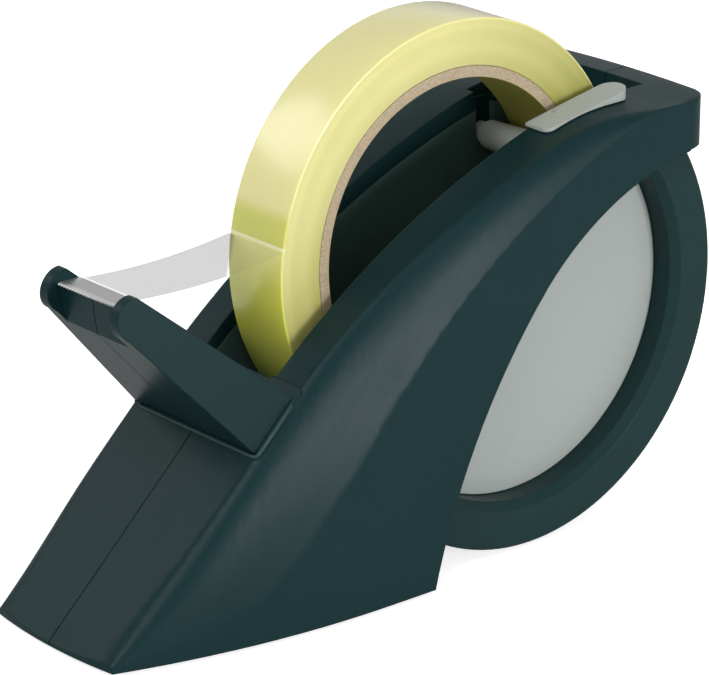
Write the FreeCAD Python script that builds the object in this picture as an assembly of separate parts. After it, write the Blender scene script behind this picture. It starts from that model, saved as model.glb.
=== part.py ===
import FreeCAD, Part
import math
import os

# Desk tape dispenser with a round drawer, in millimetres.
# +X is the width, -Y is the nose, +Z is up.  The origin is the middle of the
# footprint on the desk.

V = FreeCAD.Vector

# ---- tape roll -------------------------------------------------------------
core_bore_radius = 38.1
core_wall = 2.7
winding_depth = 11.35
tape_width = 19.05
roll_y = 22.4
roll_z = 75.5
winding_clearance = 0.05

# ---- free end of tape ------------------------------------------------------
strip_thickness = 0.25
strip_front_y = -75.2
strip_seat_gap = 0.05
strip_rise = 1.6
strip_sag = 1.2

# ---- body outline ----------------------------------------------------------
foot_height = 1.0
nose_y = -89.8
nose_half_width = 21.0
nose_land = 0.8
nose_bow = 1.6
body_half_width = 33.0
widest_y = -17.6
body_rear_y = 86.5
rear_corner_radius = 7.0
side_draft = 0.036
ramp_angle = 44.0
wall = 2.2

# ---- rail line: ramp, long arc, short arc, deck ----------------------------
rail_start_y = -35.2
rail_start_angle = 41.5
rail_arc_radius = 216.0
deck_arc_start_angle = 17.0
deck_arc_radius = 60.0
deck_angle = 0.5

# ---- shoulder between the flat top and the crease ----------------------------
shoulder_front_lean = 0.09
shoulder_rear_lean = 0.30
shoulder_front_round = 5.5
shoulder_rear_round = 3.2
shoulder_share = 0.92
shoulder_blend_front_y = -70.0
shoulder_blend_rear_y = 5.0
shoulder_inset_share = 0.7
deck_crown = 0.6

# ---- crease between the shoulder and the side panel -------------------------
crease_y = -12.2
crease_height = 50.7
crease_angle = 46.5
crease_radius = 200.0
crease_low_share = 0.25
crease_fade = 3.5
deck_fade = 0.6
crease_step = 0.2

# ---- arch edge of the side panel -------------------------------------------
arch_foot = (-3.6, 0.0)
arch_low = (10.8, 35.5)
arch_mid = (33.0, 66.4)
arch_high = (55.0, 82.5)
arch_rear = (82.0, 90.2)

# ---- roll channel ----------------------------------------------------------
channel_half_width = 13.0
channel_wall = 1.8
roll_seat_clearance = 0.35
channel_front = (-35.5, 54.5)
channel_rear = (79.2, 102.0)
rail_lip_depth = 4.3
seam_gap = 0.24

# ---- cutter arm ------------------------------------------------------------
arm_head_half_width = 14.4
arm_base_half_width = 22.0
arm_top_head = (-73.8, 83.7)
arm_top_base = (-35.6, 52.6)
arm_low_head = (-76.6, 74.2)
arm_low_base = (-47.6, 43.8)
arm_nose_radius = 4.6
arm_nose_reach = 2.6
arm_root_depth = 9.0
arm_root_step = 1.0
collar_half_width = 22.8
collar_front_y = -47.4
collar_rear_y = -35.0
collar_height = 0.9
collar_root_depth = 3.0
cheek_thickness = 3.0
head_face_top = (-75.5, 80.6)
head_face_bend = (-74.0, 71.0)
head_recess_reach = 20.0
head_recess_step = 2.0

# ---- blade -----------------------------------------------------------------
blade_thickness = 0.5
blade_front_y = -76.7
blade_rear_y = -70.4
blade_top_z = 81.1
tooth_pitch = 1.0
tooth_depth = 1.1
blade_tang_depth = 7.0
blade_tang_half_width = 8.0
blade_fit = 0.05

# ---- roll axle -------------------------------------------------------------
axle_y = 52.0
axle_z = 89.8
axle_near_radius = 4.4
axle_far_radius = 3.5
axle_end_gap = 0.8
axle_end_round = 1.2
journal_radius = 2.6
journal_clearance = 0.3
slot_mouth_half_width = 3.8
slot_mouth_depth = 2.6
leg_side_clearance = 0.2
grip_front_y = 42.0
grip_rear_y = 69.0
grip_inner_x = 12.0
grip_outer_x = 19.8
grip_front_rise = 1.6
grip_middle_rise = 1.25
grip_rear_rise = 3.4
grip_front_radius = 2.4
grip_rear_radius = 3.7
grip_gap = 0.3

# ---- drum-shaped drawer ----------------------------------------------------
drum_y = 32.2
drum_radius = 57.6
drum_half_width = 26.7
ring_face_width = 11.6
ring_bevel = 2.0
ring_wall = 2.0
ring_back_x = 16.8
ring_back_wall = 1.2
ring_face_wall = 2.0
disc_thickness = 1.4
disc_fit = 0.2
roof_clearance = 7.0
doorway_headroom = 0.5
tray_wall = 1.6
tray_depth = 13.0
tray_front_y = -2.0
tray_top_z = 86.0
tray_cheek_front_y = 62.2
tray_well_clearance = 0.8
side_running_gap = 0.4
drawer_travel = 45.0

# ---- drawer runners --------------------------------------------------------
runner_z = 46.0
runner_height = 4.0
runner_front_y = 43.5
runner_rear_y = 64.0
runner_thickness = 1.6
runner_gap = 0.3
groove_rib = 2.0
groove_rear_y = 60.0
stop_lug = 1.6
stop_gap = 0.4
catch_front_y = 16.0
catch_rear_y = 29.0
catch_half_width = 4.0
catch_thickness = 0.4

# ---- base, ballast, feet and screws ----------------------------------------
base_thickness = 2.0
base_clearance = 1.0
base_front_y = -81.0
base_rear_y = -5.0
ballast_half_width = 21.5
ballast_front_y = -64.0
ballast_rear_y = -28.0
ballast_height = 32.5
ballast_clearance = 1.2
ballast_chamfer = 6.0
foot_radius = 6.0
foot_recess = 0.8
front_foot_y = -74.0
front_foot_inset = 10.0
rear_foot_y = -14.0
rear_foot_inset = 17.0
screw_radius = 1.5
screw_clearance = 0.2
screw_head_radius = 2.8
screw_head_height = 1.8
base_screw_head_height = 0.9
cross_slot_half_width = 0.35
shell_screw_reach = 12.0
boss_radius = 3.6
shell_screw_places = ((-72.5, 10.0, 6.6), (-35.5, 42.5, 10.0), (-19.5, 10.0, 5.0))
front_base_screw = (6.0, -77.0)
rear_base_screw_y = -10.5
rear_base_screw_inset = 7.0
base_post_radius = 3.0
base_post_height = 8.0

tape_outer_radius = core_bore_radius + core_wall + winding_depth
drum_z = foot_height + drum_radius
ring_inner_radius = drum_radius - ring_face_width
ramp_slope = math.tan(math.radians(ramp_angle))
well_radius = tape_outer_radius + roll_seat_clearance
mirror_plane = V(1, 0, 0)

# Cutting shapes reach this far, past the body on every side.
beyond = 150.0

# How far a cut runs past the face that it opens, and past the outline of the body.
overshoot = 1.0
cut_margin = 5.0

# Sections in a loft and points on an interpolated curve.
section_count = 18
curve_count = 24

# Crumbs left by a cut are smaller than this.
smallest_volume = 0.5


# ---- small helpers ---------------------------------------------------------
def line(a, b):
    return Part.LineSegment(a, b).toShape()


def arc(a, middle, b):
    return Part.Arc(a, middle, b).toShape()


def bezier(points):
    curve = Part.BezierCurve()
    curve.setPoles(points)
    return curve.toBSpline().toShape()


def side_prism(edges, x_low, x_high):
    # A closed outline of edges in the plane x = 0, extruded from x_low to x_high.
    face = Part.Face(Part.Wire(edges))
    face.translate(V(x_low, 0, 0))
    return face.extrude(V(x_high - x_low, 0, 0))


def side_polygon(points, x_low, x_high):
    corners = [V(0, y, z) for y, z in points]
    wire = Part.makePolygon(corners + corners[:1])
    face = Part.Face(wire)
    face.translate(V(x_low, 0, 0))
    return face.extrude(V(x_high - x_low, 0, 0))


def block(x_low, x_high, y_low, y_high, z_low, z_high):
    size = V(x_high - x_low, y_high - y_low, z_high - z_low)
    return Part.makeBox(size.x, size.y, size.z, V(x_low, y_low, z_low))


def rod_x(radius, x_low, x_high, y, z):
    return Part.makeCylinder(radius, x_high - x_low, V(x_low, y, z), V(1, 0, 0))


def rod_z(radius, z_low, z_high, x, y):
    return Part.makeCylinder(radius, z_high - z_low, V(x, y, z_low), V(0, 0, 1))


def mirrored(shape):
    return shape.mirror(V(0, 0, 0), mirror_plane)


def solids_of(shape):
    return [solid for solid in shape.Solids if solid.Volume > smallest_volume]


def biggest(shape):
    return max(shape.Solids, key=lambda solid: solid.Volume)


def save(name, shape):
    if not shape.isValid():
        print("not valid:", name)
    bodies = solids_of(shape)
    result = bodies[0] if len(bodies) == 1 else Part.makeCompound(bodies)
    result.exportStep(os.path.join("parts", name + ".step"))
    print(name, len(bodies), "solid, volume", round(result.Volume))


# ---- lines that the body follows --------------------------------------------
def plan_radius():
    run = widest_y - nose_y
    narrowing = body_half_width - nose_half_width
    return (run * run + narrowing * narrowing) / (2 * narrowing)


def base_half_width(y):
    if y >= widest_y:
        return body_half_width
    radius = plan_radius()
    run = widest_y - y
    return body_half_width - radius + math.sqrt(radius * radius - run * run)


def ramp_height(y):
    return foot_height + nose_land + ramp_slope * (y - nose_y)


def arc_height(y, start_y, start_z, start_angle, radius):
    # Height on an arc that leaves (start_y, start_z) at start_angle and bends down.
    sine = math.sin(math.radians(start_angle))
    cosine = math.cos(math.radians(start_angle))
    offset = y - start_y - radius * sine
    return start_z - radius * cosine + math.sqrt(radius * radius - offset * offset)


def arc_end_y(start_y, start_angle, end_angle, radius):
    turn = math.sin(math.radians(start_angle)) - math.sin(math.radians(end_angle))
    return start_y + radius * turn


def rail_height(y):
    if y <= rail_start_y:
        return ramp_height(y)
    start_z = ramp_height(rail_start_y)
    deck_arc_y = arc_end_y(rail_start_y, rail_start_angle, deck_arc_start_angle, rail_arc_radius)
    if y <= deck_arc_y:
        return arc_height(y, rail_start_y, start_z, rail_start_angle, rail_arc_radius)
    deck_arc_z = arc_height(deck_arc_y, rail_start_y, start_z, rail_start_angle, rail_arc_radius)
    deck_y = arc_end_y(deck_arc_y, deck_arc_start_angle, deck_angle, deck_arc_radius)
    if y <= deck_y:
        return arc_height(y, deck_arc_y, deck_arc_z, deck_arc_start_angle, deck_arc_radius)
    deck_z = arc_height(deck_y, deck_arc_y, deck_arc_z, deck_arc_start_angle, deck_arc_radius)
    return deck_z + math.tan(math.radians(deck_angle)) * (y - deck_y)


def crease_line(y):
    if y <= crease_y:
        return crease_height + math.tan(math.radians(crease_angle)) * (y - crease_y)
    return arc_height(y, crease_y, crease_height, crease_angle, crease_radius)


def panel_top(y):
    # The crease fades into a low edge near the nose and into the deck at the rear.
    low = foot_height + crease_low_share * (rail_height(y) - foot_height)
    side = low + eased(crease_line(y) - low, crease_fade)
    return rail_height(y) - crease_step - eased(rail_height(y) - crease_step - side, deck_fade)


def eased(value, width):
    # Zero for negative values, the value itself for positive ones, rounded between.
    return width * math.log1p(math.exp(value / width))


def smooth_step(y, start, end):
    share = min(max((y - start) / (end - start), 0.0), 1.0)
    return share * share * (3 - 2 * share)


def blended(front, rear, share):
    return front + (rear - front) * share


def shoulder_blend(y):
    # Zero on the ramp, one beside the roll.
    return smooth_step(y, shoulder_blend_front_y, shoulder_blend_rear_y)


def crease_half_width(y):
    return base_half_width(y) - side_draft * panel_top(y)


def shoulder_corner(y):
    # Where the flat top and the side would meet if nothing were rounded.
    from_foot = base_half_width(y) - shoulder_front_lean * (rail_height(y) - foot_height)
    from_crease = crease_half_width(y) - shoulder_rear_lean * (rail_height(y) - panel_top(y))
    return blended(from_foot, from_crease, shoulder_blend(y))


# ---- cross-sections of the right half ---------------------------------------
def section_edges(y, inset):
    # The outline of the right half at y, moved inwards by inset on top and side.
    top = rail_height(y) - inset
    side_x = base_half_width(y) - inset
    bottom = foot_height - (cut_margin if inset else 0.0)
    blend = shoulder_blend(y)
    crown = deck_crown * blend
    foot = V(side_x, y, bottom)
    crease = V(crease_half_width(y) - inset, y, panel_top(y) - inset)
    corner = V(shoulder_corner(y) - shoulder_inset_share * inset, y, top)
    wall_top = corner + (crease - corner) * shoulder_share
    edge = corner - V(blended(shoulder_front_round, shoulder_rear_round, blend), 0, 0)
    middle = V(0, y, top + crown)
    return [
        line(V(0, y, bottom), foot),
        line(foot, crease),
        line(crease, wall_top),
        bezier([wall_top, corner, edge]),
        bezier([edge, V(edge.x / 2, y, top + crown), middle]),
        line(middle, V(0, y, bottom)),
    ]


def body_stations(rear_y):
    step = (rear_y - nose_y) / (section_count - 1)
    return [nose_y + step * i for i in range(section_count)]


def half_loft(inset, rear_y):
    wires = [Part.Wire(section_edges(y, inset)) for y in body_stations(rear_y)]
    return Part.makeLoft(wires, True, False)


def plan_outline():
    # The nose is bowed and the rear corners are rounded in plan.
    reach = body_half_width + cut_margin
    bow = nose_bow / nose_half_width ** 2
    corner_y = nose_y + bow * nose_half_width ** 2
    rear = body_rear_y
    radius = rear_corner_radius
    rear_x = body_half_width - side_draft * rail_height(rear)
    turn = radius * (1 - math.sqrt(0.5))
    edges = [
        line(V(0, nose_y, 0), V(0, rear, 0)),
        line(V(0, rear, 0), V(rear_x - radius, rear, 0)),
        arc(V(rear_x - radius, rear, 0), V(rear_x - turn, rear - turn, 0), V(rear_x, rear - radius, 0)),
        line(V(rear_x, rear - radius, 0), V(reach, rear - 2 * radius, 0)),
        line(V(reach, rear - 2 * radius, 0), V(reach, corner_y, 0)),
        line(V(reach, corner_y, 0), V(nose_half_width, corner_y, 0)),
        arc(V(nose_half_width, corner_y, 0), V(nose_half_width / 2, nose_y + nose_bow / 4, 0), V(0, nose_y, 0)),
    ]
    face = Part.Face(Part.Wire(edges))
    return face.extrude(V(0, 0, beyond))


# ---- the U-shaped wall of the roll channel -----------------------------------
def tangent_angle(point, radius, turn):
    # Angle, about the roll's centre, where the line from point touches the circle.
    run = point[0] - roll_y
    rise = point[1] - roll_z
    distance = math.hypot(run, rise)
    return math.atan2(rise, run) + turn * math.acos(radius / distance)


def on_circle(angle, radius):
    return V(0, roll_y + radius * math.cos(angle), roll_z + radius * math.sin(angle))


def trough(half_width, thickness):
    # The channel's side outline, thickness outside the inner face, open upwards.
    radius = well_radius + thickness
    front = (channel_front[0] - thickness, channel_front[1])
    rear = (channel_rear[0] + thickness, channel_rear[1])
    start = tangent_angle(front, radius, 1)
    end = tangent_angle(rear, radius, -1)
    if start > 0:
        start -= 2 * math.pi
    above = beyond
    front_point = V(0, front[0], front[1])
    rear_point = V(0, rear[0], rear[1])
    edges = [
        line(front_point, on_circle(start, radius)),
        arc(on_circle(start, radius), on_circle((start + end) / 2, radius), on_circle(end, radius)),
        line(on_circle(end, radius), rear_point),
        line(rear_point, V(0, rear[0], above)),
        line(V(0, rear[0], above), V(0, front[0], above)),
        line(V(0, front[0], above), front_point),
    ]
    return side_prism(edges, -half_width, half_width)


def trough_wall():
    outside = trough(channel_half_width + channel_wall, channel_wall)
    return outside.cut(trough(channel_half_width, 0.0))


def below_curve(height, first, last):
    # Everything under the curve height(y), between first and last.
    stations = [first + (last - first) * i / curve_count for i in range(curve_count + 1)]
    points = [V(0, y, height(y)) for y in stations]
    curve = Part.BSplineCurve()
    curve.interpolate(points)
    edges = [
        curve.toShape(),
        line(points[-1], V(0, last, -beyond)),
        line(V(0, last, -beyond), V(0, first, -beyond)),
        line(V(0, first, -beyond), points[0]),
    ]
    return side_prism(edges, -body_half_width, body_half_width)


def under_rail(depth):
    # Everything that lies more than depth below the rail line.
    return below_curve(lambda y: rail_height(y) - depth, nose_y, body_rear_y + cut_margin)


def roll_well():
    wall_below_lip = trough_wall().common(under_rail(rail_lip_depth + seam_gap))
    return biggest(wall_below_lip.cut(axle_slots()))


def rail_lip(outer):
    lip = trough_wall().cut(under_rail(rail_lip_depth))
    return lip.common(outer)


# ---- cutter arm --------------------------------------------------------------
def arm_profile():
    # Side outline: straight top and underside, rounded at the head.
    top_head = V(0, *arm_top_head)
    low_head = V(0, *arm_low_head)
    bulge = V(0, arm_low_head[0] - arm_nose_reach, arm_top_head[1] - arm_nose_radius)
    into = arm_root_depth
    low_base = V(0, arm_low_base[0], arm_low_base[1] - arm_root_step)
    low_inside = V(0, arm_low_base[0] + into, arm_low_base[1] - into)
    top_base = V(0, *arm_top_base)
    top_inside = V(0, arm_top_base[0] - arm_root_step, arm_top_base[1] - into / 2)
    return [
        line(low_head, low_base),
        line(low_base, low_inside),
        line(low_inside, top_inside),
        line(top_inside, top_base),
        line(top_base, top_head),
        arc(top_head, bulge, low_head),
    ]


def arm_taper():
    # A wedge seen along the arm: wide at the ramp and narrow at the head.
    direction = V(0, -math.sin(math.radians(ramp_angle)), math.cos(math.radians(ramp_angle)))
    across = V(0, math.cos(math.radians(ramp_angle)), math.sin(math.radians(ramp_angle)))
    base_y = (arm_low_base[0] + arm_top_base[0]) / 2
    base = V(0, base_y, ramp_height(base_y))
    length = (V(0, *arm_top_head) - base).dot(direction)
    slope = (arm_base_half_width - arm_head_half_width) / length
    depth = 2 * arm_root_depth
    reach = length + depth
    low_x = arm_base_half_width + slope * depth
    high_x = arm_base_half_width - slope * reach
    low = base - direction * depth - across * length
    high = base + direction * reach - across * length
    corners = [low + V(-low_x, 0, 0), low + V(low_x, 0, 0), high + V(high_x, 0, 0), high + V(-high_x, 0, 0)]
    face = Part.Face(Part.makePolygon(corners + corners[:1]))
    return face.extrude(across * 2 * length)


def head_recess():
    # The space between the two cheeks, in front of and above the blade seat.
    inner = arm_head_half_width - cheek_thickness
    bend_y, bend_z = head_face_bend
    top_y, top_z = head_face_top
    front = arm_low_head[0] - head_recess_reach
    rear = arm_top_base[0]
    above = arm_top_head[1] + head_recess_reach
    low = bend_z - (bend_y - front)
    points = [(front, low + head_recess_step), (bend_y, bend_z), (top_y, top_z), (rear, top_z), (rear, above), (front, above)]
    return side_polygon(points, -inner, inner)


def blade_slot():
    fit = blade_fit
    half = blade_tang_half_width + fit
    low = blade_top_z - blade_thickness - blade_tang_depth - fit
    tang_rear = blade_rear_y + fit
    tang_front = blade_rear_y - blade_thickness - fit
    return block(-half, half, tang_front, tang_rear, low, blade_top_z)


def arm():
    profile = side_prism(arm_profile(), -body_half_width, body_half_width)
    shape = profile.common(arm_taper())
    return shape.cut(head_recess()).cut(blade_slot())


def collar():
    # A low raised plate on the ramp that the arm grows out of.
    depth = collar_root_depth
    front, rear = collar_front_y, collar_rear_y
    lift = collar_height / math.cos(math.radians(ramp_angle))
    points = [
        (front, ramp_height(front) - depth),
        (rear, ramp_height(rear) - depth),
        (rear, ramp_height(rear) + lift),
        (front, ramp_height(front) + lift),
    ]
    return side_polygon(points, -collar_half_width, collar_half_width)


# ---- half shells -------------------------------------------------------------
def arch_opening():
    # The space behind and below the arch edge of the side panels.
    foot = V(0, arch_foot[0], arch_foot[1])
    mid = V(0, *arch_mid)
    rear = V(0, *arch_rear)
    edges = [
        line(V(0, foot.y, -beyond), foot),
        arc(foot, V(0, *arch_low), mid),
        arc(mid, V(0, *arch_high), rear),
        line(rear, V(0, beyond, rear.z)),
        line(V(0, beyond, rear.z), V(0, beyond, -beyond)),
        line(V(0, beyond, -beyond), V(0, foot.y, -beyond)),
    ]
    return side_prism(edges, -beyond, beyond)


def rear_doorway():
    # The drawer passes under the deck between the side panels.
    half = base_half_width(body_rear_y) - side_draft * rail_height(body_rear_y) - wall
    top = panel_top(body_rear_y) - roof_clearance + doorway_headroom
    return block(-half, half, body_rear_y - 3 * wall, beyond, 0.0, top)


def axle_slots():
    # Upright slots in both walls: a round seat below and a wider mouth on top.
    half = journal_radius + journal_clearance
    mouth = slot_mouth_half_width
    mouth_z = rail_height(axle_y) - slot_mouth_depth
    reach = channel_half_width + channel_wall + seam_gap / 2
    seat = rod_x(half, -reach, reach, axle_y, axle_z)
    slot = block(-reach, reach, axle_y - half, axle_y + half, axle_z, beyond)
    mouth_reach = channel_half_width + 1.5 * channel_wall
    lead_in = block(-mouth_reach, mouth_reach, axle_y - mouth, axle_y + mouth, mouth_z, beyond)
    return seat.fuse([slot, lead_in])


def axle_stop():
    # A plate behind the slot keeps the axle from sliding sideways.
    inner = channel_half_width + channel_wall + seam_gap
    outer = ring_back_x - side_running_gap
    half = journal_radius + journal_clearance + wall
    return block(inner, outer, axle_y - half, axle_y + half, axle_z - half, beyond)


def shell_bosses():
    # Posts that meet at the centre plane, one for each screw across the body.
    posts = []
    for y, z, depth in shell_screw_places:
        reach = base_half_width(y) - depth + screw_head_height + overshoot
        posts.append(rod_x(boss_radius, 0.0, reach, y, z))
    for x, y in base_screw_places():
        low = foot_height + base_thickness + base_clearance
        posts.append(rod_z(base_post_radius, low, low + base_post_height, x, y))
    return posts


def base_screw_holes():
    low = foot_height
    high = low + base_thickness + base_post_height - overshoot
    return [rod_z(screw_radius, low, high, x, y) for x, y in base_screw_places()]


def pilot_holes():
    holes = []
    for y, z, depth in shell_screw_places:
        holes.append(rod_x(screw_radius, -overshoot, shell_screw_reach + overshoot, y, z))
    return holes


def head_holes():
    # Clearance holes and counterbores in the left shell.
    holes = []
    for y, z, depth in shell_screw_places:
        seat = base_half_width(y) - depth
        holes.append(rod_x(screw_radius + screw_clearance, -seat - overshoot, overshoot, y, z))
        holes.append(rod_x(screw_head_radius + screw_clearance, -2 * seat, -seat, y, z))
    return holes


def half_shell():
    outer = half_loft(0.0, body_rear_y).common(plan_outline())
    hollow = half_loft(wall, body_rear_y - wall)
    shell = outer.cut(hollow).fuse(rail_lip(outer))
    shell = shell.fuse([collar(), arm()])
    # Half the parting line, which the posts bridge.
    shell = shell.common(block(seam_gap / 2, beyond, -beyond, beyond, -beyond, beyond))
    inside = [axle_stop()] + shell_bosses()
    shell = shell.fuse([piece.common(outer) for piece in inside])
    shell = shell.cut(trough(channel_half_width, 0.0))
    shell = shell.cut(arch_opening())
    shell = shell.cut(rear_doorway())
    shell = shell.cut(axle_slots())
    shell = shell.cut(base_screw_holes())
    return biggest(shell.removeSplitter())


# ---- blade and tape ------------------------------------------------------------
def cutter_blade():
    half = arm_head_half_width - cheek_thickness - blade_fit
    top = blade_top_z
    low = top - blade_thickness
    root_y = blade_front_y + tooth_depth
    count = int(2 * half / tooth_pitch)
    pitch = 2 * half / count
    points = [V(-half, blade_rear_y, low), V(-half, root_y, low)]
    for i in range(count):
        left = -half + i * pitch
        points.append(V(left + pitch / 2, blade_front_y, low))
        points.append(V(left + pitch, root_y, low))
    points.append(V(half, blade_rear_y, low))
    face = Part.Face(Part.makePolygon(points + points[:1]))
    plate = face.extrude(V(0, 0, blade_thickness))
    tang = block(
        -blade_tang_half_width, blade_tang_half_width,
        blade_rear_y - blade_thickness, blade_rear_y,
        low - blade_tang_depth, low,
    )
    return plate.fuse(tang).removeSplitter()


def tape_core():
    outside = rod_x(core_bore_radius + core_wall, -tape_width / 2, tape_width / 2, roll_y, roll_z)
    return outside.cut(rod_x(core_bore_radius, -tape_width, tape_width, roll_y, roll_z))


def tape_winding():
    inner = core_bore_radius + core_wall + winding_clearance
    outside = rod_x(tape_outer_radius, -tape_width / 2, tape_width / 2, roll_y, roll_z)
    return outside.cut(rod_x(inner, -tape_width, tape_width, roll_y, roll_z))


def tape_strip():
    # The free end: flat on the blade, then a shallow sag back to the roll.
    start_z = blade_top_z + strip_seat_gap
    end_z = blade_top_z + strip_rise
    reach = math.sqrt(tape_outer_radius ** 2 - (end_z - roll_z) ** 2)
    end_y = roll_y - reach - roll_seat_clearance
    mid_y = (blade_rear_y + end_y) / 2
    mid_z = (start_z + end_z) / 2 - strip_sag
    up = V(0, 0, strip_thickness)
    tip = V(0, strip_front_y, start_z)
    edge = V(0, blade_rear_y, start_z)
    middle = V(0, mid_y, mid_z)
    end = V(0, end_y, end_z)
    edges = [
        line(tip, edge),
        arc(edge, middle, end),
        line(end, end + up),
        arc(end + up, middle + up, edge + up),
        line(edge + up, tip + up),
        line(tip + up, tip),
    ]
    return side_prism(edges, -tape_width / 2, tape_width / 2)


# ---- roll axle -------------------------------------------------------------------
def grip_tab():
    # A finger tab on the right-hand rail, nearly flush in front and rising to the rear.
    front, rear = grip_front_y, grip_rear_y
    middle = (front + rear) / 2
    low = rail_height(front) - 2 * grip_front_rise
    front_top = V(0, front, rail_height(front) + grip_front_rise)
    middle_top = V(0, middle, rail_height(middle) + grip_middle_rise)
    rear_top = V(0, rear, rail_height(rear) + grip_rear_rise)
    edges = [
        arc(front_top, middle_top, rear_top),
        line(rear_top, V(0, rear, low)),
        line(V(0, rear, low), V(0, front, low)),
        line(V(0, front, low), front_top),
    ]
    tab = side_prism(edges, grip_inner_x, grip_outer_x)
    tab = tab.makeFillet(grip_rear_radius, upright_edges(tab, rear))
    tab = tab.makeFillet(grip_front_radius, upright_edges(tab, front)[-1:])
    return tab.cut(half_loft(-grip_gap, body_rear_y))


def upright_edges(shape, y):
    # The upright edges of a shape at y, from left to right.
    found = []
    for edge in shape.Edges:
        box = edge.BoundBox
        if box.YMax - y < 0.01 and y - box.YMin < 0.01 and box.XLength < 0.01:
            found.append(edge)
    return sorted(found, key=lambda edge: edge.BoundBox.XMin)


def roll_axle():
    # A tapered barrel between two journals, with a leg up to the tab on the right.
    inner = channel_half_width + leg_side_clearance
    outer = channel_half_width + channel_wall
    barrel_half = channel_half_width - axle_end_gap
    barrel = Part.makeCone(
        axle_far_radius, axle_near_radius, 2 * barrel_half,
        V(-barrel_half, axle_y, axle_z), V(1, 0, 0),
    )
    ends = [e for e in barrel.Edges if e.BoundBox.XLength < 0.01]
    barrel = barrel.makeFillet(axle_end_round, ends)
    journal = rod_x(journal_radius, -outer, outer, axle_y, axle_z)
    front, rear = axle_y - journal_radius, axle_y + journal_radius
    leg = block(inner, outer, front, rear, axle_z, rail_height(axle_y) + grip_gap + deck_crown)
    return barrel.fuse([journal, leg, grip_tab()]).removeSplitter()


# ---- drawer ----------------------------------------------------------------------
def under_roof(extra):
    # Everything in the drum's outline that stays below the side panels' roof.
    first = drum_y - drum_radius - cut_margin
    last = drum_y + drum_radius + cut_margin
    drop = roof_clearance + extra
    return below_curve(lambda y: panel_top(min(y, body_rear_y)) - drop, first, last)


def drum_rod(radius, x_low, x_high):
    return rod_x(radius, x_low, x_high, drum_y, drum_z)


def drawer_ring():
    # The right-hand side of the drum: an annular face, a deep recess, a back wall.
    back = ring_back_x
    face = drum_half_width
    floor = back + ring_back_wall
    ring = drum_rod(drum_radius, back, face)
    edge = [e for e in ring.Edges if abs(e.BoundBox.XMin - face) < 0.01 and e.BoundBox.XLength < 0.01]
    ring = ring.makeFillet(0.5 * ring_face_wall, edge)
    recess = drum_rod(ring_inner_radius, floor, face + overshoot)
    bevel = Part.makeCone(
        ring_inner_radius, ring_inner_radius + ring_bevel, ring_bevel,
        V(face - ring_bevel, drum_y, drum_z), V(1, 0, 0),
    )
    hollow = drum_rod(drum_radius - ring_wall, floor, face - ring_face_wall)
    hollow = hollow.cut(drum_rod(ring_inner_radius + ring_bevel + ring_wall, floor - overshoot, face))
    ring = ring.cut([recess, bevel, hollow])
    return biggest(ring.common(under_roof(0.0)).fuse(groove_ribs()).removeSplitter())


def groove_ribs():
    # Two ribs that hold the runner between them, and a lug that ends the travel.
    low = channel_half_width + channel_wall + side_running_gap
    high = ring_back_x
    half = runner_height / 2 + runner_gap
    front = runner_front_y - drawer_travel - stop_gap - stop_lug
    upper = block(low, high, front, groove_rear_y, runner_z + half, runner_z + half + groove_rib)
    lower = block(low, high, front, groove_rear_y, runner_z - half - groove_rib, runner_z - half)
    lug = block(low, high, front, front + stop_lug, runner_z - half, runner_z + half)
    return [upper, lower, lug]


def drawer_disc():
    floor = ring_back_x + ring_back_wall
    disc = drum_rod(ring_inner_radius - disc_fit, floor, floor + disc_thickness)
    return disc.common(under_roof(disc_fit))


def tray_reach():
    # Side outline of the tray: low in front, where it passes under the channel.
    low_z = roll_z - well_radius - channel_wall - tray_well_clearance
    points = [
        (tray_front_y, -beyond),
        (beyond, -beyond),
        (beyond, tray_top_z),
        (tray_cheek_front_y, tray_top_z),
        (tray_cheek_front_y, runner_z + groove_rib),
        (roll_y, low_z),
        (tray_front_y, low_z),
    ]
    return side_polygon(points, -ring_back_x, ring_back_x)


def drawer_tray():
    outside = drum_rod(drum_radius, -ring_back_x, ring_back_x)
    tub = outside.cut(drum_rod(drum_radius - tray_wall, -ring_back_x, ring_back_x))
    cheek_low = channel_half_width + channel_wall + side_running_gap
    cheek_ring = outside.cut(drum_rod(drum_radius - tray_depth, -ring_back_x, ring_back_x))
    between = block(-cheek_low, cheek_low, -beyond, beyond, -beyond, beyond)
    front = outside.common(block(-ring_back_x, ring_back_x, tray_front_y, tray_front_y + tray_wall, 0.0, drum_z))
    tray = tub.fuse([cheek_ring.cut(between), front]).common(tray_reach())
    return biggest(tray.removeSplitter())


def drawer_runner():
    inner = channel_half_width + channel_wall
    half = runner_height / 2
    return block(inner, inner + runner_thickness, runner_front_y, runner_rear_y, runner_z - half, runner_z + half)


def drawer_catch():
    # A leaf under the channel that snaps behind the tray's front wall when open.
    half = catch_half_width
    top = roll_z - well_radius - channel_wall - seam_gap / 2
    return block(-half, half, catch_front_y, catch_rear_y, top - catch_thickness, top)


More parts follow.
